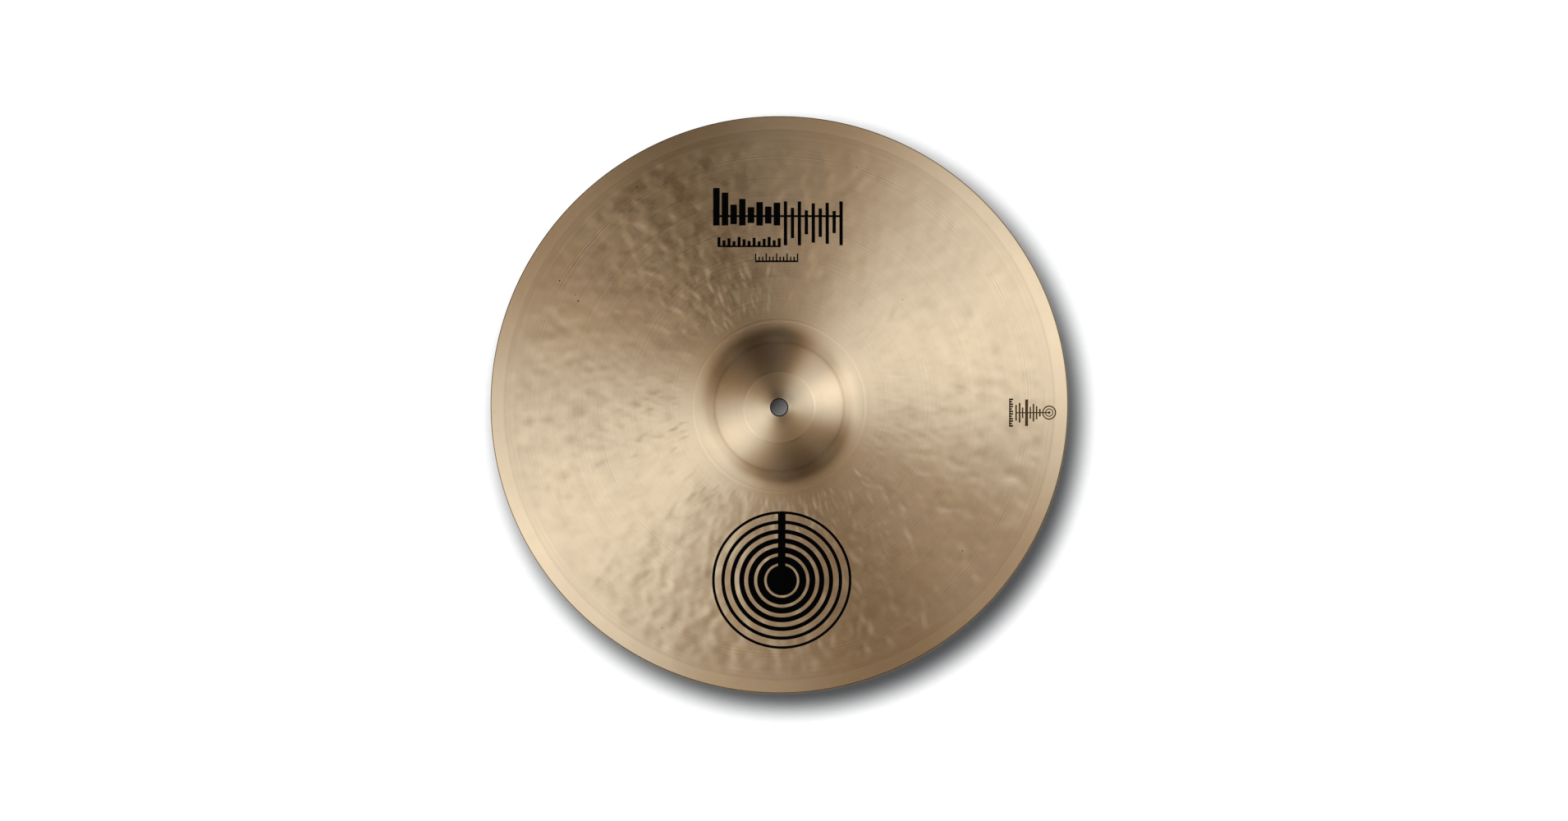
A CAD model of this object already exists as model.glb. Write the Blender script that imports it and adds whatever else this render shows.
"""A hammered bronze cymbal, 457.2 mm across, with printed marks on its top face.

It lies with its axis on Z, the bell upwards and the land under its rim on z = 0. The
camera looks down with +X to the right and +Y up. Azimuths run anticlockwise from +X.
Shapes are worked out in millimetres. The floor, lights and camera are in metres.
"""
import math
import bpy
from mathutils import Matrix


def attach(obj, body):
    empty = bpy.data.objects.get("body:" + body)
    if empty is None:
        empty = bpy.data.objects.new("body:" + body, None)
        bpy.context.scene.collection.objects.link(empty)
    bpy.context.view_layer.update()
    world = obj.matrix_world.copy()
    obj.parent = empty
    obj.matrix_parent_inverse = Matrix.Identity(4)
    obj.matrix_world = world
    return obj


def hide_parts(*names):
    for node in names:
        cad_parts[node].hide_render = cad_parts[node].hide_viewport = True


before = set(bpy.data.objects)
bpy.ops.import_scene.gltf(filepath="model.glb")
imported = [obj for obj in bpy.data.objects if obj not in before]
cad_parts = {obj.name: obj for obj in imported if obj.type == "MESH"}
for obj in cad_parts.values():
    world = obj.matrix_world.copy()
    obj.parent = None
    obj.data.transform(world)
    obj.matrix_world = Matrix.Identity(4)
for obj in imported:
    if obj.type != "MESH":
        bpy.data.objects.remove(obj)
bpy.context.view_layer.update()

from types import SimpleNamespace

import bpy
import numpy as np
from mathutils import Matrix, Vector
from mathutils.geometry import delaunay_2d_cdt

MM = 0.001
TURN = 2 * math.pi

# ---------------------------------------------------------------------------
# Section of the plate
# ---------------------------------------------------------------------------
RIM_R = 228.6
HOLE_R = 6.35
HOLE_SHOULDER = 0.75       # rounding of the hole's top corner
HOLE_CHAMFER = 0.4         # chamfer of the hole's bottom corner
SEAT_R = 11.0              # flat seat round the hole
BELL_R = 50.6
BLEND_R = 67.4             # foot of the bell, where the bow starts
BELL_SLOPE = 38.0          # degrees at the edge of the bell
BOW_IN, BOW_OUT = 3.0, 10.5    # degrees at the two ends of the bow
T_BELL, T_BOW, T_RIM = 1.4, 1.25, 0.85
RIM_LAND = 0.7             # width of the flat the rim rests on
INNER_RING_R = 27.5
EDGE_BAND_R = 218.0        # inner edge of the smooth band
GROOVE_R = EDGE_BAND_R - 1.3
TOP_EDGE_R = 228.3         # where the top face meets the eased rim
STEP_IN, STEP_OUT = 38.0, 39.0     # two turning steps of the bell overlap between these


def smooth(t):
    t = np.clip(t, 0.0, 1.0)
    return t * t * (3 - 2 * t)


def ring_window(radius, start, rise, end, fall):
    """1 over a ring, rising from `start` and falling from `end`."""
    return smooth((radius - start) / rise) * (1 - smooth((radius - end) / fall))


def slope_deg(radius):
    """Downward slope of the plain section, in degrees."""
    radius = np.asarray(radius, float)
    bell = BELL_SLOPE * (radius - SEAT_R) / (BELL_R - SEAT_R)
    turn = smooth((radius - BELL_R) / (BLEND_R - BELL_R))
    blend = BELL_SLOPE + (BOW_IN - BELL_SLOPE) * turn
    bow = BOW_IN + (BOW_OUT - BOW_IN) * (radius - BLEND_R) / (RIM_R - BLEND_R)
    outer = np.where(radius <= BLEND_R, blend, bow)
    return np.where(radius <= SEAT_R, 0.0, np.where(radius <= BELL_R, bell, outer))


def thickness(radius):
    return np.interp(radius, [BELL_R, BLEND_R, RIM_R], [T_BELL, T_BOW, T_RIM])


def slope_break(radius):
    """Degrees added to the slope where the bell was turned in steps. They nearly cancel."""
    inner = -2.6 * (radius - SEAT_R) / (INNER_RING_R - SEAT_R)
    middle = 2.5 * (STEP_OUT - radius) / (STEP_OUT - INNER_RING_R)
    outer = -4.6 * (radius - STEP_IN) / (BELL_R - STEP_IN)
    foot_end = 66.5
    foot = np.interp(radius, [BELL_R, 56.5, foot_end], [5.0, 9.0, 0.0])
    total = -0.34 * ring_window(radius, 70.0, 12.0, 203.0, 12.0)
    for start, end, part in ((SEAT_R, INNER_RING_R, inner), (STEP_IN, BELL_R, outer)):
        total = total + np.where((radius > start) & (radius <= end), part, 0.0)
    for start, end, part in ((INNER_RING_R, STEP_OUT, middle), (BELL_R, foot_end, foot)):
        total = total + np.where((radius > start) & (radius < end), part, 0.0)
    return total


SAMPLES = np.linspace(0, RIM_R, 9145)


def drop_to_rim(gradient):
    """Trapezoid integral of a gradient from each sampled radius out to the rim."""
    steps = (gradient[1:] + gradient[:-1]) / 2 * np.diff(SAMPLES)
    run = np.concatenate([[0], np.cumsum(steps)])
    return run[-1] - run


BOW_END = math.radians(BOW_OUT)
RIM_TOP = T_RIM / math.cos(BOW_END) - RIM_LAND * math.tan(BOW_END)
SECTION = (RIM_TOP + drop_to_rim(np.tan(np.radians(slope_deg(SAMPLES))))
           + drop_to_rim(np.radians(slope_break(SAMPLES))))


def base_height(radius):
    return np.interp(radius, SAMPLES, SECTION)


TURNED_LINES = (           # height, radius, half width
    (0.10, INNER_RING_R, 0.75),        # ridge round the inner disc
    (-0.13, BELL_R + 0.9, 1.5),        # crease at the edge of the bell
    (0.10, BLEND_R, 0.8),              # line at the foot of the bell
    (-0.05, BLEND_R + 1.9, 0.9),
    (-0.10, GROOVE_R, 1.6),            # groove inside the smooth edge band
)
LATHE_WAVES = ((0.006, 3.1, 0.6), (0.012, 6.7, 2.0), (0.02, 11.3, 0.0))  # height, length, phase


def turned(radius):
    """Ridges, creases and slow waves left by the lathe."""
    radius = np.asarray(radius, float)
    # the inner disc stands a little higher
    z = 0.10 * (1 - smooth((radius - (INNER_RING_R - 0.4)) / 0.9))
    for height, centre, width in TURNED_LINES:
        z = z + height * np.exp(-((radius - centre) / width) ** 2)
    waves = sum(h * np.sin(radius / length + phase) for h, length, phase in LATHE_WAVES)
    return z + ring_window(radius, 76, 14, 205, 10) * waves


def turned_height(radius):
    return base_height(radius) + turned(radius)


# ---------------------------------------------------------------------------
# Hammer marks
# ---------------------------------------------------------------------------
rng = np.random.default_rng(1823)

WORK = np.array([          # azimuth in degrees, how heavily the plate is hammered there
    (0, 0.8), (8, 0.75), (35, 0.45), (60, 0.3), (90, 0.7), (110, 1.4), (130, 1.5),
    (150, 0.5), (165, 0.65), (180, 1.15), (200, 1.0), (215, 0.6), (230, 1.35),
    (255, 1.4), (275, 1.2), (300, 1.4), (320, 1.1), (340, 0.8), (360, 0.8)])
EASED = np.array([         # azimuth in degrees, factor that makes the upper left shallower
    (0, 1.0), (85, 1.0), (105, 0.84), (135, 0.84), (150, 1.0), (360, 1.0)])


def worked(angle):
    """How heavily the plate was hammered at an angle in radians."""
    return np.interp(np.degrees(angle) % 360.0, *WORK.T)


def relief(angle):
    """Depth of the marks; the upper left is tarnished more than it is dented."""
    return worked(angle) * np.interp(np.degrees(angle) % 360.0, *EASED.T)


def hammer_marks():
    """Oval dents: x, y, radial and tangential half width, turn, depth."""
    marks = []
    for ring_r in np.arange(79, 214, 6.5):
        count = int(TURN * ring_r / 9.5)
        start = rng.uniform(0, TURN)
        for k in range(count):
            angle = start + TURN * (k + rng.normal(0, 0.38)) / count
            radius = ring_r + rng.normal(0, 2.8)
            if not 74 < radius < 214:
                continue
            across = rng.uniform(2.8, 5.2)
            along = across * rng.uniform(0.8, 1.7)
            depth = rng.gamma(5.0, 0.020) + 0.012
            if rng.uniform() < 0.25:       # a quarter of them are raised
                depth = -0.6 * depth
            depth *= float(relief(angle))
            marks.append((radius * math.cos(angle), radius * math.sin(angle),
                          along, across, angle + rng.normal(0, 0.7), depth))
    return np.array(marks)


def bell_marks():
    """Round dents on the bell: x, y, half width, depth."""
    marks = []
    for _ in range(46):
        angle, radius = rng.uniform(0, TURN), rng.uniform(31, 66)
        marks.append((radius * math.cos(angle), radius * math.sin(angle),
                      rng.uniform(4.5, 9.0), rng.uniform(-0.07, 0.09)))
    return marks


# The order of these four fixes the random draws.
MARKS = hammer_marks()
SPIRALS = [                # turns round the plate, turns per mm of radius, phase
    (int(rng.integers(46, 124)), rng.choice([-1, 1]) / rng.uniform(9, 38), rng.uniform(0, TURN))
    for _ in range(72)]
WAVES = [                  # direction, length, phase
    (rng.uniform(0, TURN), rng.uniform(20, 60), rng.uniform(0, TURN)) for _ in range(16)]
BELL_MARKS = bell_marks()


def hammer(x, y):
    """Depth of the hammering at x, y (positive is down)."""
    x, y = np.asarray(x, float).ravel(), np.asarray(y, float).ravel()
    depth = np.zeros(len(x))
    order = np.argsort(x)
    sorted_x = x[order]
    for mark_x, mark_y, along, across, turn, mark_depth in MARKS:
        reach = 3.0 * max(along, across)
        first, last = np.searchsorted(sorted_x, (mark_x - reach, mark_x + reach))
        near = order[first:last]
        dx, dy = x[near] - mark_x, y[near] - mark_y
        u = dx * math.cos(turn) + dy * math.sin(turn)
        v = -dx * math.sin(turn) + dy * math.cos(turn)
        depth[near] += mark_depth * np.exp(-(u / along) ** 2 - (v / across) ** 2)
    radius = np.hypot(x, y)
    angle = np.arctan2(y, x)
    field = np.zeros(len(x))
    for turns, rate, phase in SPIRALS:
        field += np.cos(turns * angle + TURN * rate * radius + phase)
    depth += 0.0030 * field * relief(angle)
    for heading, length, phase in WAVES:
        travel = x * math.cos(heading) + y * math.sin(heading)
        depth += 0.0004 * length * np.sin(TURN * travel / length + phase)
    depth *= ring_window(radius, 66, 14, 207, 14)
    bell = np.zeros(len(x))
    for mark_x, mark_y, width, mark_depth in BELL_MARKS:
        bell += mark_depth * np.exp(-((x - mark_x) ** 2 + (y - mark_y) ** 2) / width ** 2)
    return depth + bell * ring_window(radius, 28.5, 5, 62, 8)


def surface(x, y):
    """Height of the finished top face."""
    return turned_height(np.hypot(x, y).ravel()) - hammer(x, y)


# ---------------------------------------------------------------------------
# Plate
# ---------------------------------------------------------------------------
SEG_BOW = 640              # points round each top ring of the bow and the rim
SEG_BELL = 320             # points round each ring of the bell and the underside
BOW_MESH_R = 72            # top rings from here outwards have SEG_BOW points
UNDERSIDE_HAMMER = 0.8     # share of the hammering that shows underneath
UNDERSIDE_TURNED = 0.35    # share of the turned relief that shows underneath


def mesh_object(name, verts, faces, attributes=None):
    mesh = bpy.data.meshes.new(name)
    mesh.from_pydata((np.asarray(verts) * MM).tolist(), [], faces)
    mesh.validate()
    mesh.update()
    for key, values in (attributes or {}).items():
        layer = mesh.attributes.new(key, "FLOAT", "POINT")
        layer.data.foreach_set("value", np.asarray(values, np.float32))
    for polygon in mesh.polygons:
        polygon.use_smooth = True
    made = bpy.data.objects.new(name, mesh)
    bpy.context.scene.collection.objects.link(made)
    return made


def top_stations():
    """Ring radii of the top face, outwards, closer together at the turned lines."""
    def cluster(centre, half, count):
        return list(np.linspace(centre - half, centre + half, count))

    shoulder_r = HOLE_R + HOLE_SHOULDER
    radii = [shoulder_r, shoulder_r + 0.12, shoulder_r + 0.6]
    radii += list(np.arange(9.5, 26.0, 1.9))
    radii += cluster(INNER_RING_R, 1.5, 9)
    radii += list(np.arange(30.8, 47.5, 1.9))
    radii += cluster(BELL_R + 0.9, 2.6, 9)
    radii += list(np.arange(55.6, 65.2, 1.7))
    radii += cluster(BLEND_R + 0.9, 2.6, 11)
    radii += list(np.arange(72.6, 214.0, 1.95))
    radii += cluster(GROOVE_R, 2.8, 7)
    radii += [221.5, 224.0, 226.2, 227.6, 228.1, TOP_EDGE_R]
    return sorted(set(np.round(radii, 4)))


def bottom_stations():
    """Ring radii of the underside, inwards from the land to the hole's chamfer."""
    chamfer_r = HOLE_R + HOLE_CHAMFER
    return [227.3, 225.5, 222.0, *np.arange(217.0, 74.0, -3.9),
            72.0, 69.5, 67.4, 65.0, 62.0, 59.0, 56.0, 53.5, 51.5, 50.0, 47.0, 43.0,
            39.0, 35.0, 31.0, 28.5, 27.5, 26.5, 23.0, 19.0, 15.0, 11.5, 9.0, 7.4,
            chamfer_r + 0.12, chamfer_r]


def underside_height(radius):
    """Height where the top face, offset along its normal, lands at the radius."""
    top_r = radius
    for _ in range(6):
        slope = math.radians(float(slope_deg(top_r)))
        top_r = radius + float(thickness(top_r)) * math.sin(slope)
    top_r = min(top_r, RIM_R)
    slope = math.radians(float(slope_deg(top_r)))
    z = float(base_height(top_r)) - float(thickness(top_r)) * math.cos(slope)
    return z + (float(turned(top_r)) * UNDERSIDE_TURNED if top_r > 60 else 0.0)


def plate_rings():
    """(radius, height, share of the hammering, points) of each ring, in a closed loop."""
    crown = float(base_height(0.0) + turned(HOLE_R + HOLE_SHOULDER))
    wall_foot = crown - T_BELL + HOLE_CHAMFER
    wall = T_BELL - HOLE_CHAMFER - HOLE_SHOULDER
    rings = [(HOLE_R, wall_foot + part * wall, 0.0, SEG_BELL) for part in (0.0, 0.5, 1.0)]
    for part in (0.35, 0.7):               # rounded shoulder of the hole
        angle = part * math.pi / 2
        rings.append((HOLE_R + HOLE_SHOULDER * (1 - math.cos(angle)),
                      crown - HOLE_SHOULDER + HOLE_SHOULDER * math.sin(angle), 0.0, SEG_BELL))
    for radius in top_stations():
        count = SEG_BELL if radius < BOW_MESH_R else SEG_BOW
        rings.append((radius, float(turned_height(radius)), 1.0, count))
    edge_z = float(turned_height(TOP_EDGE_R))
    for radius, z in ((228.5, edge_z - 0.14), (RIM_R, edge_z - 0.34), (RIM_R, 0.20),
                      (228.5, 0.06), (228.32, 0.0), (RIM_R - RIM_LAND, 0.0)):
        rings.append((radius, z, 0.0, SEG_BOW))
    for radius in bottom_stations():
        rings.append((radius, underside_height(radius), UNDERSIDE_HAMMER, SEG_BELL))
    return rings


def bridge(start_a, count_a, start_b, count_b):
    """Faces between two rings of equal counts, or with one count twice the other."""
    faces = []
    for k in range(min(count_a, count_b)):
        if count_a == count_b:
            m = (k + 1) % count_a
            faces.append((start_a + k, start_b + k, start_b + m, start_a + m))
        elif count_a < count_b:
            a0, a1 = start_a + k, start_a + (k + 1) % count_a
            b0, b1, b2 = (start_b + (2 * k + i) % count_b for i in range(3))
            faces += [(a0, b0, b1), (a0, b1, a1), (a1, b1, b2)]
        else:
            b0, b1 = start_b + k, start_b + (k + 1) % count_b
            a0, a1, a2 = (start_a + (2 * k + i) % count_a for i in range(3))
            faces += [(a0, b0, a1), (b0, b1, a1), (b1, a2, a1)]
    return faces


def build_plate():
    points, spans, total = [], [], 0
    for radius, z, share, count in plate_rings():
        angle = np.linspace(0, TURN, count, endpoint=False)
        points.append(np.stack([radius * np.cos(angle), radius * np.sin(angle),
                                np.full(count, z), np.full(count, share)], 1))
        spans.append((total, count))
        total += count
    points = np.concatenate(points)
    depth = hammer(points[:, 0], points[:, 1]) * points[:, 3]
    verts = points[:, :3].copy()
    verts[:, 2] = np.maximum(verts[:, 2] - depth, 0.0)
    faces = []
    for span, following in zip(spans, spans[1:] + spans[:1]):
        faces += bridge(*span, *following)
    busy = worked(np.arctan2(points[:, 1], points[:, 0]))
    return mesh_object("cymbal", verts, faces, {"hammer": depth, "worked": busy})


plate = build_plate()


# ---------------------------------------------------------------------------
# Outlines of the printed marks
# ---------------------------------------------------------------------------
def rect(x0, y0, x1, y1):
    return [(x0, y0), (x1, y0), (x1, y1), (x0, y1)]


def arc(x, y, radius, start, sweep, steps):
    """Points from `start` over `sweep` radians, both ends included."""
    angles = [start + sweep * k / steps for k in range(steps + 1)]
    return [(x + radius * math.cos(a), y + radius * math.sin(a)) for a in angles]


def round_rect(x0, y0, x1, y1, corner):
    points = []
    for x, y, quarter in ((x1 - corner, y0 + corner, -1), (x1 - corner, y1 - corner, 0),
                          (x0 + corner, y1 - corner, 1), (x0 + corner, y0 + corner, 2)):
        points += arc(x, y, corner, quarter * math.pi / 2, math.pi / 2, 4)
    return points


def half_rings(x, y, r_in, r_out, step=1.2):
    """A ring as two half rings, since an outline can't have a hole."""
    count = max(24, int(math.pi * r_out / step))
    return [arc(x, y, r_out, start, math.pi, count)
            + arc(x, y, r_in, start, math.pi, count)[::-1] for start in (0, math.pi)]


def disc(x, y, radius, step=1.2):
    count = max(28, int(TURN * radius / step))
    return arc(x, y, radius, 0, TURN, count)[:-1]


def spread(start, end, width, count):
    """Lower edges of evenly spaced bars that fill start to end."""
    return [start + (end - width - start) * i / (count - 1) for i in range(count)]


def title_shapes():
    """Heavy bars, then light bars to their right, all crossed by one line."""
    x0, x1, line_y, line = -52.0, 50.0, 149.4, 1.6
    # bottom and top of each bar
    heavy = ((142, 171.6), (142, 168), (143, 158.5), (142, 163),
             (144, 156.5), (142, 160.5), (143.5, 157), (142, 160))
    light = ((126.4, 161), (132, 156), (126.4, 161), (135, 154), (128.5, 159.5),
             (133, 155.5), (127.5, 160), (136, 153.5), (126.4, 161))
    polys = [rect(x0 + 0.6, line_y - line / 2, x1 - 0.4, line_y + line / 2)]
    for bars, width, start, end in ((heavy, 5.2, x0, 0.8), (light, 2.7, 3.6, x1)):
        for x, (bottom, top) in zip(spread(start, end, width, len(bars)), bars):
            polys.append(round_rect(x, bottom, x + width, top, corner=0.4))
    return polys


def standing_bars(x0, x1, y, line, width, heights):
    """Bars standing on the lower edge of a line."""
    polys = [rect(x0, y, x1, y + line)]
    for x, height in zip(spread(x0, x1, width, len(heights)), heights):
        polys.append(rect(x, y, x + width, y + height))
    return polys


def subtitle_shapes():
    heights = (8, 5.4, 7, 4.6, 8, 6.2, 5, 7.4, 4.6, 6.6, 8, 5.4, 7)
    return standing_bars(x0=-48.5, x1=1.2, y=125.0, line=1.3, width=2.4, heights=heights)


def scale_shapes():
    """A ruler with every third tick long."""
    heights = [6.8 if i % 3 == 0 else 4.4 for i in range(13)]
    return standing_bars(x0=-19.0, x1=15.0, y=113.2, line=1.4, width=1.1, heights=heights)


def emblem_shapes():
    """A disc inside six rings, with an upright bar across the rings above it."""
    x, y, radius, half_bar = 2.0, -137.5, 12.0, 3.0
    # gap before each ring, width of the ring
    rings = ((1.8, 5.6), (2.4, 4.8), (3.0, 4.0), (3.7, 3.3), (4.4, 2.7), (5.2, 2.1))
    polys = [disc(x, y, radius)]
    edge = radius
    for gap, width in rings:
        polys += half_rings(x, y, edge + gap, edge + gap + width)
        edge += gap + width
    polys.append(rect(x - half_bar, y + radius - 3, x + half_bar, y + edge - 1.0))
    return polys


def stamp_shapes():
    """A ringed dot near the rim and a row of bars towards the axis, joined by a line."""
    dot_x, y, line = 213.5, -5.4, 0.9
    polys = [disc(dot_x, y, 1.1, step=0.4)]
    for r_in, r_out in ((4.6, 5.6), (2.5, 3.3)):
        polys += half_rings(dot_x, y, r_in, r_out, step=0.5)
    # x, length along Y, width
    bars = ((206.0, 6.0, 1.3), (203.4, 10.5, 1.2), (200.9, 14.0, 1.3), (198.4, 9.5, 1.2),
            (195.4, 21.0, 2.3), (192.2, 8.5, 1.2), (189.8, 15.5, 1.4), (187.0, 12.5, 1.3))
    for x, length, width in bars:
        polys.append(rect(x - width / 2, y - length / 2, x + width / 2, y + length / 2))
    polys.append(rect(bars[-1][0], y - line / 2, dot_x, y + line / 2))
    return polys


def serial_shapes():
    """A comb along Y with its teeth towards the rim."""
    x, spine, y0, y1, teeth, width = 181.4, 0.9, -16.4, 5.9, 12, 1.25
    polys = [rect(x, y0, x + spine, y1)]
    for i, y in enumerate(spread(y0, y1, width, teeth)):
        polys.append(rect(x, y, x + (2.3 if i % 3 == 1 else 3.2), y + width))
    return polys


# ---------------------------------------------------------------------------
# Films that follow the hammered face
# ---------------------------------------------------------------------------
def split_edges(poly, longest):
    points = []
    for start, end in zip(poly, poly[1:] + poly[:1]):
        count = max(1, math.ceil(math.dist(start, end) / longest))
        for k in range(count):
            points.append((start[0] + (end[0] - start[0]) * k / count,
                           start[1] + (end[1] - start[1]) * k / count))
    return points


def triangulate(polys, cell):
    """Points and upward triangles over the union of the outlines."""
    points, outlines = [], []
    for poly in polys:
        poly = split_edges(poly, cell)
        outlines.append(list(range(len(points), len(points) + len(poly))))
        points += poly
    lo, hi = np.min(points, 0), np.max(points, 0)
    grid_x, grid_y = np.meshgrid(np.arange(lo[0] + cell / 3, hi[0], cell),
                                 np.arange(lo[1] + cell / 3, hi[1], cell))
    grid_x[1::2] += cell / 2
    points += list(zip(grid_x.ravel(), grid_y.ravel()))
    verts, _, tris, _, _, origin = delaunay_2d_cdt(
        [Vector(p) for p in points], [], outlines, 0, 1e-5)
    inside = [tri for tri, source in zip(tris, origin) if len(source)]
    used = sorted({i for tri in inside for i in tri})
    index = {old: new for new, old in enumerate(used)}
    flat = np.array([tuple(p) for p in verts])[used]
    upward = []
    for tri in inside:
        tri = [index[i] for i in tri]
        a, b, c = (flat[i] for i in tri)
        area = (b[0] - a[0]) * (c[1] - a[1]) - (b[1] - a[1]) * (c[0] - a[0])
        upward.append(tri if area > 0 else tri[::-1])
    return flat, upward


def film(name, polys, above=0.045, below=0.03, cell=1.7):
    """A closed thin solid over the outlines, from `below` to `above` the top face."""
    flat, upward = triangulate(polys, cell)
    z = surface(flat[:, 0], flat[:, 1])
    count = len(flat)
    faces = [tuple(tri) for tri in upward]
    faces += [tuple(i + count for i in reversed(tri)) for tri in upward]
    edges = dict.fromkeys((tri[i], tri[(i + 1) % 3]) for tri in upward for i in range(3))
    faces += [(a, a + count, b + count, b) for a, b in edges if (b, a) not in edges]
    verts = np.concatenate([np.column_stack([flat, z + above]),
                            np.column_stack([flat, z - below])])
    made = mesh_object(name, verts, faces)
    made.data.set_sharp_from_angle(angle=math.radians(40))
    return made


title = film("title_mark", title_shapes())
subtitle = film("subtitle_mark", subtitle_shapes(), cell=1.3)
scale_mark = film("size_scale_mark", scale_shapes(), cell=1.2)
emblem = film("emblem_mark", emblem_shapes())
stamp = film("maker_stamp_mark", stamp_shapes(), above=0.035, below=0.02, cell=0.9)
serial = film("serial_mark", serial_shapes(), above=0.035, below=0.02, cell=0.9)


# ---------------------------------------------------------------------------
# Node helpers
# ---------------------------------------------------------------------------
class Wire:
    """An output socket; arithmetic on it adds Math nodes."""

    def __init__(self, tree, socket):
        self.tree, self.socket = tree, socket

    def __add__(self, other):
        return self.tree.math("ADD", self, other)

    def __radd__(self, other):
        return self.tree.math("ADD", other, self)

    def __sub__(self, other):
        return self.tree.math("SUBTRACT", self, other)

    def __mul__(self, other):
        return self.tree.math("MULTIPLY", self, other)

    def __truediv__(self, other):
        return self.tree.math("DIVIDE", self, other)

    def __pow__(self, other):
        return self.tree.math("POWER", self, other)

    def __abs__(self):
        return self.tree.math("ABSOLUTE", self)

    def at_least(self, other):
        return self.tree.math("MAXIMUM", self, other)

    def times_plus(self, factor, addend):
        return self.tree.math("MULTIPLY_ADD", self, factor, addend)

    def ramp(self, off, on, to=(0.0, 1.0), kind="SMOOTHSTEP"):
        """to[0] where the value is `off`, to[1] where it is `on`."""
        inputs = {"Value": self, "From Min": off, "From Max": on, "To Min": to[0], "To Max": to[1]}
        return self.tree.node("MapRange", inputs, interpolation_type=kind, clamp=True)

    def band(self, centre, half):
        """1 at centre, 0 at centre +- half."""
        return abs(self - centre).ramp(off=half, on=0.0)

    def scale(self, factor):
        return self.tree.vector("SCALE", {0: self, "Scale": factor})

    def length(self):
        return self.tree.vector("LENGTH", {0: self}, "Value")


class Tree:
    def __init__(self, node_tree):
        self.nodes, self.links = node_tree.nodes, node_tree.links
        self.nodes.clear()

    def add(self, kind, inputs, **props):
        made = self.nodes.new("ShaderNode" + kind)
        for name, value in props.items():
            setattr(made, name, value)
        for key, value in inputs.items():
            if isinstance(value, Wire):
                self.links.new(value.socket, made.inputs[key])
            else:
                made.inputs[key].default_value = value
        return made

    def node(self, kind, inputs={}, output=0, **props):
        """Add a node and return its output, or several if `output` is a tuple."""
        made = self.add(kind, inputs, **props)
        if isinstance(output, tuple):
            return [Wire(self, made.outputs[key]) for key in output]
        return Wire(self, made.outputs[output])

    def math(self, operation, a, b=0.0, c=0.0, clamp=False):
        return self.node("Math", {0: a, 1: b, 2: c}, operation=operation, use_clamp=clamp)

    def vector(self, operation, inputs, output="Vector"):
        return self.node("VectorMath", inputs, output, operation=operation)

    def split(self, vector):
        return self.node("SeparateXYZ", {0: vector}, (0, 1, 2))

    def combine(self, x, y, z=0.0):
        return self.node("CombineXYZ", {0: x, 1: y, 2: z})

    def hypot(self, x, y):
        return self.math("SQRT", x * x + y * y)

    def mix(self, factor, *colours):
        a, b = ((*c, 1.0) if isinstance(c, tuple) else c for c in colours)
        return self.node("Mix", {0: factor, 6: a, 7: b}, 2, data_type="RGBA", blend_type="MIX")

    def noise(self, place, scale=1.0, detail=2.0, rough=0.5):
        inputs = {"Vector": place, "Scale": scale, "Detail": detail, "Roughness": rough}
        return self.node("TexNoise", inputs, "Fac", noise_dimensions="3D")

    def ring_noise(self, radius, rate, detail, rough=0.5):
        """Noise that only changes along the radius."""
        inputs = {"W": radius * rate, "Scale": 1.0, "Detail": detail, "Roughness": rough}
        return self.node("TexNoise", inputs, "Fac", noise_dimensions="1D")

    def attribute(self, name):
        return self.node("Attribute", output="Fac", attribute_name=name)

    def bump(self, height, strength, distance):
        inputs = {"Strength": strength, "Distance": distance, "Height": height}
        return self.node("Bump", inputs)

    def mix_shader(self, factor, a, b):
        return self.node("MixShader", {0: factor, 1: a, 2: b})


def material(name):
    made = bpy.data.materials.new(name)
    made.use_nodes = True
    return made, Tree(made.node_tree)


def set_cycles(block, name, value):
    # Guards a Blender without the Cycles add-on, where `block.cycles` is missing.
    try:
        setattr(block.cycles, name, value)
    except (AttributeError, TypeError):
        pass


def polar(tree):
    """Position in mm, its flat part, the radius and the unit vector away from the axis."""
    place = tree.node("TexCoord", output="Object").scale(1 / MM)
    x, y, _ = tree.split(place)
    flat = tree.combine(x, y)
    outward = tree.vector("NORMALIZE", {0: flat})
    return SimpleNamespace(place=place, flat=flat, radius=flat.length(), outward=outward)


def groove_radius(tree, face):
    """The radius, wandering a little so that the grooves aren't quite round."""
    return face.radius + tree.noise(face.place, scale=0.02, detail=1.0) * 1.6


def fine_grooves(tree, radius):
    return tree.ring_noise(radius, rate=1.25, detail=1.5, rough=0.6)


# ---------------------------------------------------------------------------
# Bronze
# ---------------------------------------------------------------------------
PALE_BRONZE, WARM_BRONZE = (0.850, 0.583, 0.326), (0.810, 0.555, 0.315)
BLOTCH_COLOUR = (0.74, 0.500, 0.270)
DENT_COLOUR = (0.57, 0.365, 0.185)
TARNISH_COLOUR = (0.52, 0.325, 0.158)
GRIME_COLOUR = (0.008, 0.006, 0.005)
CORNER_COLOUR = (0.10, 0.062, 0.032)
PIT_COLOUR = (0.05, 0.045, 0.03)
SMOKY_SIDE = (-0.515, 0.857, 0.0)      # most of the tarnish lies in the upper left
WORN_X, WORN_Y = 0.42, 0.91            # side where the inner disc is rubbed dull
PITS = (                               # x, y, radius
    (-173.3, 98.9, 0.75), (-158.3, 82.8, 0.85), (-160.9, 87.7, 0.5), (145.0, -114.5, 0.6),
    (-93.0, -176.0, 0.5), (61.0, 188.0, 0.45), (-112.0, 172.5, 0.6), (97.0, 84.0, 0.4))


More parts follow.
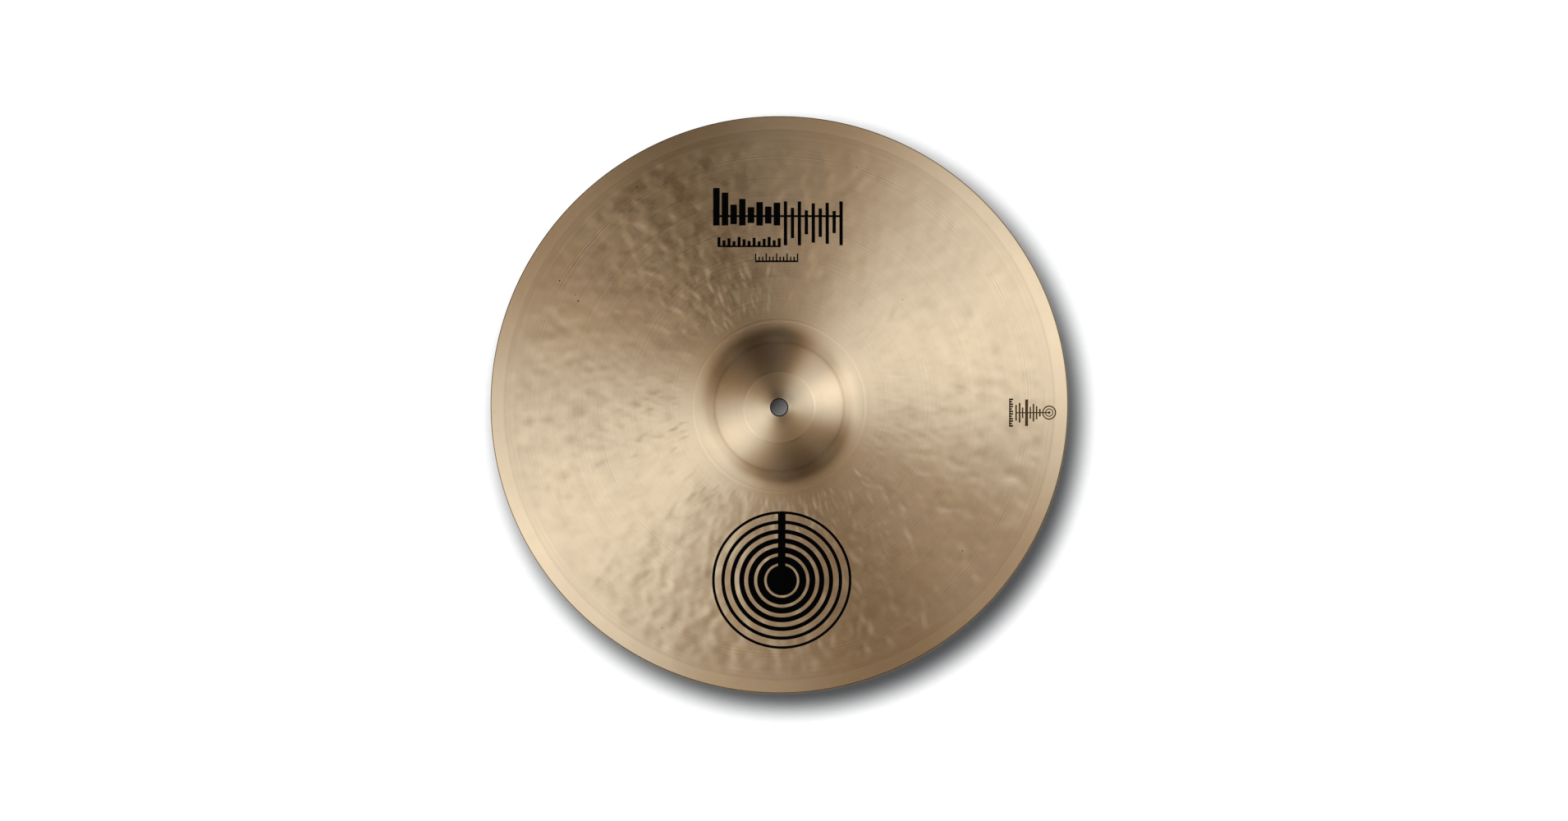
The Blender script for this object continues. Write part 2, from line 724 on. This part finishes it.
def bronze_fields(tree):
    """Masks and noises that colour, roughness and bump share."""
    face = polar(tree)
    radius, place = face.radius, face.place
    wandering = groove_radius(tree, face)
    face.fine = fine_grooves(tree, wandering)
    face.mid = tree.ring_noise(wandering, rate=0.42, detail=1.0)
    face.broad = tree.ring_noise(wandering, rate=0.10, detail=1.0)
    _, _, face.normal_z = tree.split(tree.node("NewGeometry", output="True Normal"))
    face.upper = face.normal_z.ramp(off=-0.1, on=0.1)
    face.patch = tree.noise(place, scale=0.016, detail=3.0, rough=0.6)
    face.zone = radius.ramp(off=72.0, on=92.0) * radius.ramp(off=217.0, on=202.0)
    face.busy = tree.attribute("worked") * face.zone
    face.deep = tree.attribute("hammer").ramp(off=0.05, on=0.30)
    cloud = tree.noise(place, scale=0.082, detail=3.0, rough=0.52)
    face.dark = cloud.ramp(off=0.46, on=0.68) * face.busy
    face.light = cloud.ramp(off=0.50, on=0.30) * face.busy
    side = tree.vector("DOT_PRODUCT", {0: face.outward, 1: SMOKY_SIDE}, "Value")
    face.smoky = side.ramp(off=0.70, on=0.97) * face.upper
    lined = radius.ramp(off=72.0, on=98.0) * radius.ramp(off=218.5, on=214.0)
    face.lined = lined * 0.8 + 0.2
    face.grime = radius.ramp(off=7.30, on=7.02)
    return face


def bronze_tarnish(tree, face):
    """Pale cast bronze with soft tarnish where the plate was worked most."""
    blotch = tree.noise(face.place, scale=0.085, rough=0.6)
    colour = tree.mix(face.patch.ramp(off=0.32, on=0.68), PALE_BRONZE, WARM_BRONZE)
    colour = tree.mix(blotch.ramp(off=0.50, on=0.74) * 0.25, colour, BLOTCH_COLOUR)
    dented = tree.math("MULTIPLY", face.deep * face.busy, 0.16, clamp=True)
    colour = tree.mix(dented, colour, DENT_COLOUR)
    amount = face.smoky.times_plus(factor=0.36, addend=0.08)
    tarnish = tree.math("MULTIPLY", face.dark, amount, clamp=True)
    return tree.mix(tarnish, colour, TARNISH_COLOUR)


def turned_lines(tree, face):
    """Fine lines that come and go in groups, as a change of brightness."""
    wander = tree.noise(face.place, scale=0.03, detail=1.0) * 0.8
    pair = tree.ring_noise(face.radius + wander, rate=0.85, detail=0.0)
    group = (tree.ring_noise(face.radius, rate=0.055, detail=1.0).ramp(off=0.42, on=0.62)
             * tree.noise(face.place, scale=0.028).ramp(off=0.36, on=0.62))
    group = group * 0.88 + 0.12
    line = (face.fine - 0.5) * 0.14 + (face.mid - 0.5) * 0.05
    line = line + (pair - 0.5) * group * 0.27
    return line * (face.lined * face.smoky.times_plus(factor=1.0, addend=1.0))


def bronze_brightness(tree, face):
    radius = face.radius
    bright = 1.0 + turned_lines(tree, face)
    # blotches that run a little along the radius, as the hammering does
    out_x, out_y, _ = tree.split(face.outward)
    streak = tree.noise(tree.combine(out_x * 21.0, out_y * 21.0, radius * 0.10), rough=0.55)
    bright += (streak - 0.5) * ((face.busy * 0.13 + 0.05) * face.zone)
    bright -= face.dark * 0.03
    bright += face.light * face.smoky.times_plus(factor=0.03, addend=0.03)
    # the inner disc is rubbed dull round the hole, most on one side
    worn = (out_x * WORN_X + out_y * WORN_Y).ramp(off=0.2, on=0.95)
    bright -= radius.ramp(off=31.0, on=9.0) * (worn * 0.38)
    bright -= radius.ramp(off=17.0, on=8.5) * 0.12
    bright += (face.broad - 0.5) * 0.05
    # the smooth edge band and its groove, the inner ring, and the foot and edge of the bell
    bright += radius.ramp(off=217.6, on=219.2) * 0.085
    bright -= radius.band(centre=EDGE_BAND_R - 1.0, half=1.3) * 0.05
    bright += radius.band(centre=INNER_RING_R + 0.2, half=0.75) * 0.17
    bright += radius.band(centre=BLEND_R, half=0.9) * 0.11
    bright -= radius.band(centre=BELL_R, half=2.4) * 0.13
    return bright


def bronze_dirt(tree, face, colour):
    """Grime round the hole, the dark top corner of the rim and a few small pits."""
    colour = tree.mix(face.grime * 0.98, colour, GRIME_COLOUR)
    corner = face.radius.ramp(off=227.80, on=228.05) * face.normal_z.ramp(off=0.1, on=0.3)
    colour = tree.mix(corner * 0.85, colour, CORNER_COLOUR)
    pits = None
    for x, y, size in PITS:
        away = tree.vector("DISTANCE", {0: face.flat, 1: (x, y, 0.0)}, "Value")
        pit = away.ramp(off=size * 1.25, on=size * 0.5)
        pits = pit if pits is None else pits.at_least(pit)
    return tree.mix(pits * face.upper * 0.85, colour, PIT_COLOUR)


def bronze_height(tree, face):
    """Grooves, fine pitting and shallow dents, as a bump height."""
    height = (face.fine * 0.55 + face.mid * 0.9) * face.lined
    height += tree.noise(face.place, scale=0.9, rough=0.6) * 0.22
    dents = tree.noise(face.place, scale=0.13, detail=1.0, rough=0.45)
    radius = face.radius
    dented = radius.ramp(off=70.0, on=90.0) * radius.ramp(off=214.0, on=200.0)
    return height + dents * dented * 2.6


def bronze_material():
    made, tree = material("bronze")
    face = bronze_fields(tree)
    colour = bronze_tarnish(tree, face).scale(bronze_brightness(tree, face))
    rough = 0.31 + (face.patch - 0.5) * 0.10
    rough += (face.fine - 0.5) * 0.07
    rough += face.deep * 0.04
    rough += face.grime * 0.3
    shader = tree.node("BsdfPrincipled", {
        "Base Color": bronze_dirt(tree, face, colour),
        "Metallic": 1.0,
        "Roughness": rough,
        "Anisotropic": 0.95,
        "Tangent": face.outward,
        "Normal": tree.bump(bronze_height(tree, face), strength=1.0, distance=0.000012),
    })
    tree.add("OutputMaterial", {0: shader})
    return made


def ink_material(name, base, worn, rough, specular, wear=0.0, metal=0.0):
    """Ink that fades from `base` to `worn` in clouds, along grooves and in grains."""
    made, tree = material(name)
    face = polar(tree)
    fine = fine_grooves(tree, groove_radius(tree, face))
    cloud = tree.noise(face.place, scale=0.35, detail=3.0, rough=0.6)
    grain = tree.noise(face.place, scale=2.2, rough=0.7)
    faded = cloud.ramp(off=0.45, on=0.75) * 0.5 + fine.ramp(off=0.55, on=0.8) * 0.35
    if wear:
        faded += grain.ramp(off=0.55, on=0.72) * wear
    height = fine * 0.8 + grain * 0.3
    shader = tree.node("BsdfPrincipled", {
        "Base Color": tree.mix(faded, base, worn),
        "Roughness": rough + (cloud - 0.5) * 0.2,
        "Specular IOR Level": specular,
        "Metallic": metal,
        "Normal": tree.bump(height, strength=0.6, distance=0.00001),
    })
    tree.add("OutputMaterial", {0: shader})
    return made


bronze = bronze_material()
black = ink_material("black_ink", base=(0.0012, 0.0010, 0.0009),
                     worn=(0.0045, 0.0038, 0.0032), rough=0.6, specular=0.03)
brown = ink_material("brown_stamp", base=(0.085, 0.044, 0.015), worn=(0.17, 0.095, 0.036),
                     rough=0.5, specular=0.15, wear=0.4, metal=0.9)

for piece, look, slot_name, cad_node in (
        (plate, bronze, "bronze", "cymbal_plate"),
        (title, black, "black_ink", "title_print"),
        (scale_mark, black, "black_ink", "size_scale_print"),
        (emblem, black, "black_ink", "emblem_print"),
        (subtitle, black, "black_ink", "subtitle_print"),
        (serial, black, "black_ink", "serial_print"),
        (stamp, brown, "brown_stamp", "maker_stamp")):
    piece.data.materials.append(look)
    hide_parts(cad_node)
    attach(piece, "root")

# ---------------------------------------------------------------------------
# Floor (metres from here on)
# ---------------------------------------------------------------------------
FLOOR_Z = -0.0008
FLOOR_HALF = 6
PAPER_COLOURS = (0.80, 0.80, 0.80), (0.84, 0.84, 0.84)
CARD_COLOUR = (0.02, 0.02, 0.022)      # grey card that shows through the centre hole
CARD_GLOWS = (1.0, 0.99, 0.99), (0.98, 0.99, 1.0)


def floor_material():
    made, tree = material("studio_floor")
    position, backfacing = tree.node("NewGeometry", output=("Position", "Backfacing"))
    camera_ray = tree.node("LightPath", output="Is Camera Ray")
    x, y, _ = tree.split(position)
    radius = tree.combine(x, y).length()
    paper = tree.mix(tree.noise(position, scale=180.0), *PAPER_COLOURS)
    card = radius.ramp(off=0.0145, on=0.0125)
    diffuse = tree.node("BsdfDiffuse", {0: tree.mix(card, paper, CARD_COLOUR)})
    # the card glows brighter towards the lower right
    glow = (x - y).times_plus(factor=9.0, addend=0.088).at_least(0.04)
    card_glow = tree.node("Emission", {0: tree.mix(0.5, *CARD_GLOWS), 1: card * camera_ray * glow})
    # the paper burns out to white away from the cymbal
    sweep = tree.node("Emission", {1: radius.ramp(off=0.236, on=0.34) * 1.0 * camera_ray})
    lit = tree.node("AddShader", {0: diffuse, 1: card_glow})
    lit = tree.node("AddShader", {0: lit, 1: sweep})
    shader = tree.mix_shader(backfacing, lit, tree.node("BsdfTransparent"))
    tree.add("OutputMaterial", {0: shader})
    return made


floor_mesh = bpy.data.meshes.new("studio_floor")
floor_mesh.from_pydata([(x, y, 0) for x, y in rect(-FLOOR_HALF, -FLOOR_HALF,
                                                   FLOOR_HALF, FLOOR_HALF)],
                       [], [(0, 1, 2, 3)])
floor = bpy.data.objects.new("studio_floor", floor_mesh)
floor.location = (0, 0, FLOOR_Z)
bpy.context.scene.collection.objects.link(floor)
floor.visible_glossy = False
floor_mesh.materials.append(floor_material())

# ---------------------------------------------------------------------------
# Key light: a round lantern, up and to the left
# ---------------------------------------------------------------------------
KEY_POWER = 48.5
KEY_SIZE = 0.12
KEY_AZ, KEY_OUT, KEY_Z = math.radians(131), 0.35, 1.10
GOBO_AZ, GOBO_SHIFT = math.radians(-51.5), 0.0126
GOBO_IN, GOBO_OUT = 0.0123, 0.0172     # soft edge of the gobo inside and outside the rim
GOBO_POWER = 1.45                      # shapes the soft edge


def key_nodes(tree):
    """A soft round gobo darkens the floor under the cymbal and just to its lower right."""
    constant = tree.node("LightFalloff", {"Strength": 1.0}, "Constant")
    position, incoming = tree.node("NewGeometry", output=("Position", "Incoming"))
    x, y, z = tree.split(position)
    ray_x, ray_y, ray_z = tree.split(incoming)
    fall = (z - FLOOR_Z) / abs(ray_z).at_least(0.02)
    floor_x = x + ray_x * fall - GOBO_SHIFT * math.cos(GOBO_AZ)
    floor_y = y + ray_y * fall - GOBO_SHIFT * math.sin(GOBO_AZ)
    rim = RIM_R * MM
    gobo = tree.hypot(floor_x, floor_y).ramp(off=rim - GOBO_IN, on=rim + GOBO_OUT) ** GOBO_POWER
    light = tree.node("Emission", {"Strength": constant * gobo})
    tree.add("OutputLight", {0: light})


key_light = bpy.data.lights.new("key", "POINT")
key_light.energy = KEY_POWER
key_light.shadow_soft_size = KEY_SIZE
key_light.use_nodes = True
key_nodes(Tree(key_light.node_tree))
key_lamp = bpy.data.objects.new("key", key_light)
key_lamp.location = (KEY_OUT * math.cos(KEY_AZ), KEY_OUT * math.sin(KEY_AZ), KEY_Z)
key_lamp.visible_glossy = False
key_lamp.visible_camera = False
bpy.context.scene.collection.objects.link(key_lamp)

# ---------------------------------------------------------------------------
# World: a dim fill, white to the camera
# ---------------------------------------------------------------------------
FILL_COLOUR, FILL_STRENGTH = (0.95, 1.0, 1.05, 1.0), 0.092
WHITE, WHITE_STRENGTH = (1, 1, 1, 1), 1.1

world = bpy.data.worlds.new("studio")
world.use_nodes = True
bpy.context.scene.world = world
set_cycles(world, "sampling_method", "NONE")
world_tree = Tree(world.node_tree)
fill = world_tree.node("Background", {0: FILL_COLOUR, 1: FILL_STRENGTH})
backdrop = world_tree.node("Background", {0: WHITE, 1: WHITE_STRENGTH})
seen = world_tree.node("LightPath", output="Is Camera Ray")
world_tree.add("OutputWorld", {0: world_tree.mix_shader(seen, fill, backdrop)})

# ---------------------------------------------------------------------------
# Dome: soft boxes painted on a large sphere that only reflections see
# ---------------------------------------------------------------------------
SPAN, RISE, REACH = 48, 24, 6.0        # segments round, segments from pole to pole, radius
BOXES = (                  # azimuth, tightness, strength near the floor, strength overhead
    (214, 4.1, 1.30, 1.10),
    (13, 4.4, 1.55, 1.20),
    (57, 19.0, 0.36, 0.23),
    (152, 8.0, 0.08, 0.10),
    (176, 9.0, 0.15, 0.13),
    (327, 8.0, 0.00, 0.055),
    (241, 12.0, 0.00, 0.20),
    (298, 6.0, 0.00, 0.125),
    (276, 22.0, -0.045, 0.00),         # two flags that keep the bell's dark crescents dark
    (86, 14.0, -0.020, 0.00),
)
ROOM_GLOW = (0.003, 0.042)             # even level near the floor and overhead
SCREENS = (135, 315, 90, 270, 45, 180, 225, 0)     # azimuths of the low screens
SCREEN_TIGHTNESS, SCREEN_STRENGTH, SCREEN_BASE = 42.0, 0.92, 0.14
BOUNCE_Z = 0.0215                      # height at which a reflected ray is taken to start
UNDER_BOXES = ((200, 3.5, 1.15), (25, 3.5, 1.25),  # azimuth, tightness, strength
               (110, 9.0, 0.20), (300, 9.0, 0.28))
UNDER_BASE = 0.09
DIM_TINT, BRIGHT_TINT = (1.0, 0.80, 0.58), (0.90, 1.07, 1.34)


def build_dome():
    verts = []
    for i in range(1, RISE):
        polar_angle = math.pi * i / RISE
        for k in range(SPAN):
            around = TURN * k / SPAN
            verts.append((REACH * math.sin(polar_angle) * math.cos(around),
                          REACH * math.sin(polar_angle) * math.sin(around),
                          REACH * math.cos(polar_angle)))
    top, bottom = len(verts), len(verts) + 1
    verts += [(0, 0, REACH), (0, 0, -REACH)]
    faces = [(i * SPAN + k, i * SPAN + (k + 1) % SPAN,
              (i + 1) * SPAN + (k + 1) % SPAN, (i + 1) * SPAN + k)
             for i in range(RISE - 2) for k in range(SPAN)]
    faces += [(top, (k + 1) % SPAN, k) for k in range(SPAN)]
    last = (RISE - 2) * SPAN
    faces += [(bottom, last + k, last + (k + 1) % SPAN) for k in range(SPAN)]
    mesh = bpy.data.meshes.new("studio_dome")
    mesh.from_pydata(verts, [], faces)
    dome = bpy.data.objects.new("studio_dome", mesh)
    bpy.context.scene.collection.objects.link(dome)
    for kind in ("camera", "diffuse", "transmission", "volume_scatter", "shadow"):
        setattr(dome, "visible_" + kind, False)
    return dome


def dome_material():
    made, tree = material("studio_dome")
    set_cycles(made, "emission_sampling", "NONE")
    incoming, position = tree.node("NewGeometry", output=("Incoming", "Position"))
    x, y, z = tree.split(incoming.scale(-1.0))
    flat = tree.hypot(x, y).at_least(0.001)
    # the boxes narrow towards the floor
    narrowing = z.ramp(off=0.1, on=0.8, to=(2.3, 1.0), kind="LINEAR")

    def lobe(azimuth, tightness, narrow=False):
        angle = math.radians(azimuth)
        facing = x * math.cos(angle) + y * math.sin(angle)
        falloff = (facing / flat - 1.0) * tightness
        return tree.math("EXPONENT", falloff * narrowing if narrow else falloff)

    above = z.ramp(off=-0.30, on=-0.10)
    dim = z.ramp(off=0.0, on=0.26, to=(0.45, 1.0))     # they fade towards the horizon
    level = z.ramp(off=0.45, on=0.95, to=ROOM_GLOW) * above
    for azimuth, tightness, low, high in BOXES:
        strength = z.ramp(off=0.45, on=0.95, to=(low, high)) * (above * dim)
        level += lobe(azimuth, tightness, narrow=True) * strength

    # Low screens all round the room, seen by the bow but flagged off the bell: a ray is
    # traced back to where it left.
    climb = tree.math("SIGN", z) * abs(z).at_least(0.05)
    hit_x, hit_y, hit_z = tree.split(position)
    run = (hit_z - BOUNCE_Z) / climb
    left = tree.hypot(hit_x - x * run, hit_y - y * run)
    screens = left.ramp(off=0.065, on=0.084) * z.ramp(off=0.70, on=0.40)
    screens = screens * z.ramp(off=-0.10, on=0.02)
    depth = tree.node("LightPath", output="Glossy Depth")
    first_bounce = tree.math("LESS_THAN", depth, 1.5)
    screens = screens * first_bounce.times_plus(factor=0.75, addend=0.25)
    pattern = SCREEN_BASE
    for azimuth in SCREENS:
        pattern += lobe(azimuth, SCREEN_TIGHTNESS) * SCREEN_STRENGTH
    level = level.at_least(screens * pattern)

    # light from below for the underside
    below = UNDER_BASE
    under = z.ramp(off=-0.25, on=-0.60)
    for azimuth, tightness, strength in UNDER_BOXES:
        below += lobe(azimuth, tightness) * strength
    level += under * below

    tint = tree.mix(level.ramp(off=0.10, on=0.85), DIM_TINT, BRIGHT_TINT)
    tree.add("OutputMaterial", {0: tree.node("Emission", {0: tint.scale(level)})})
    return made


build_dome().data.materials.append(dome_material())

# ---------------------------------------------------------------------------
# Camera: almost straight down
# ---------------------------------------------------------------------------
SENSOR = 36.0
CAMERA_DISTANCE = 2.2
VIEW_WIDTH = 1.242                     # width seen at the target
TILT = math.radians(2.0)
TARGET = Vector((0.00377, -0.00384, 0.0))

lens = bpy.data.cameras.new("camera")
lens.sensor_width = SENSOR
lens.lens = SENSOR * CAMERA_DISTANCE / VIEW_WIDTH
camera = bpy.data.objects.new("camera", lens)
right = Vector((1.0, 0.0, 0.0))
back = Vector((0.0, math.sin(TILT), math.cos(TILT)))
camera.location = TARGET + back * CAMERA_DISTANCE
camera.rotation_mode = "QUATERNION"
camera.rotation_quaternion = Matrix((right, back.cross(right), back)).transposed().to_quaternion()
bpy.context.scene.collection.objects.link(camera)
bpy.context.scene.camera = camera

view = bpy.context.scene.view_settings
view.view_transform = "Standard"
view.look = "None"
view.exposure = 0.0
view.gamma = 1.0
